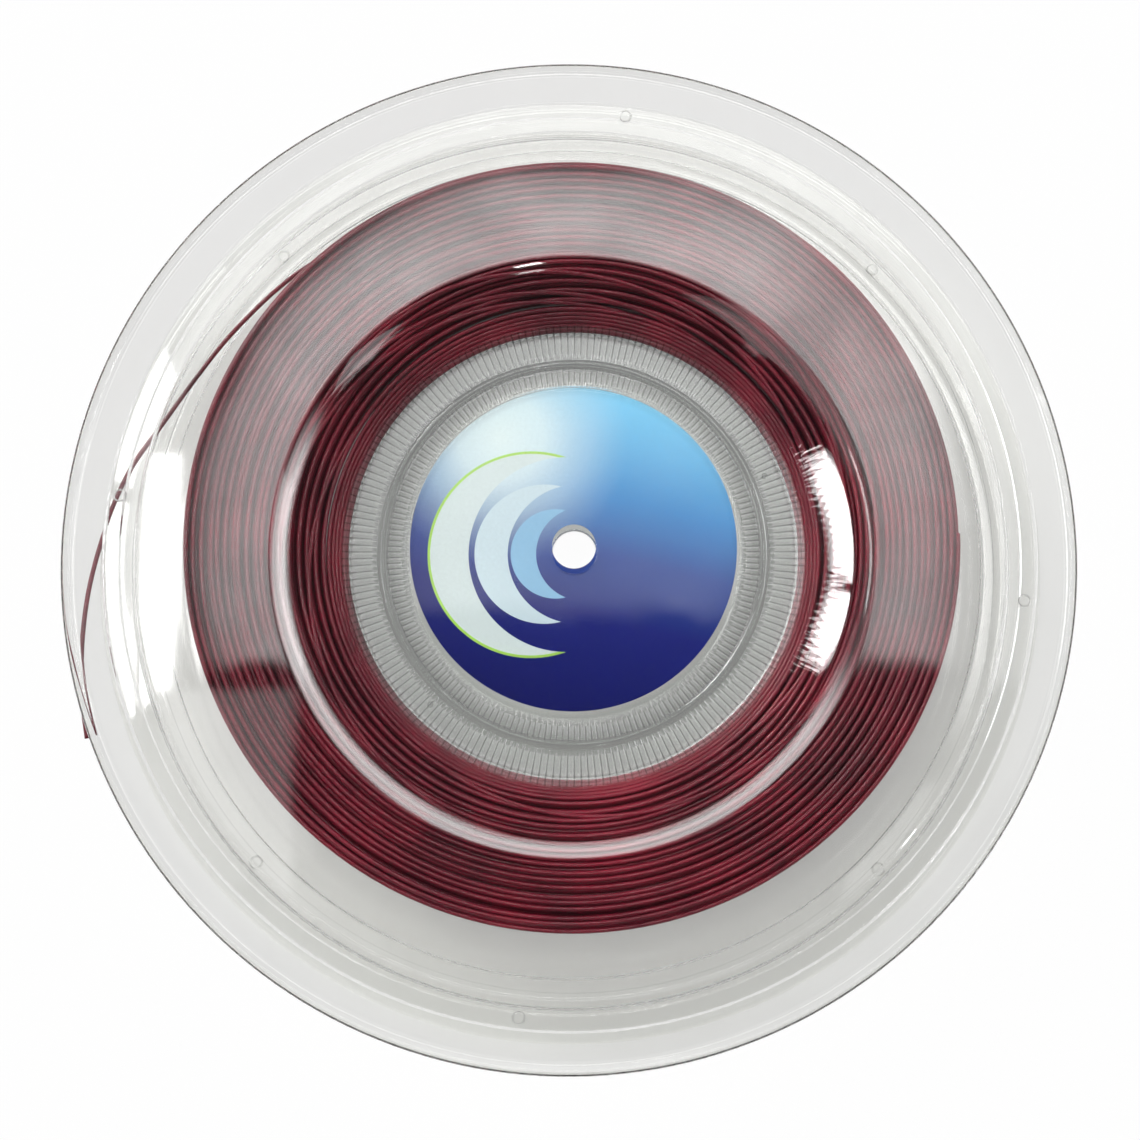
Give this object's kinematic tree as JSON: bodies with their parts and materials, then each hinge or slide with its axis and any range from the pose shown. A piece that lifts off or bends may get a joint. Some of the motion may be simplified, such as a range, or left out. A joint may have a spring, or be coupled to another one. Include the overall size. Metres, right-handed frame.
{
  "type": "string reel",
  "caption": "Clear plastic reel of thin red racket string, with a cupped hub that shows a round card through its web and one loose string end.",
  "frame": {"origin": "on the reel's axis, in the plane of the rear rim's land that the reel lies on", "axes": "+Z along the reel's axis, out of the labelled front; +X right and +Y up as the reel is seen from the front"},
  "size_m": [0.2654, 0.2654, 0.03],
  "materials": {
    "clear_plastic": "clear, moulded, glossy",
    "card": "printed card, satin",
    "string": "coated monofilament, glossy"
  },
  "bodies": {
    "root": {"front_half": "clear_plastic", "rear_half": "clear_plastic", "label": "card", "string_core": "string", "string_turns": "string", "string_tail": "string"}
  },
  "joints": []
}
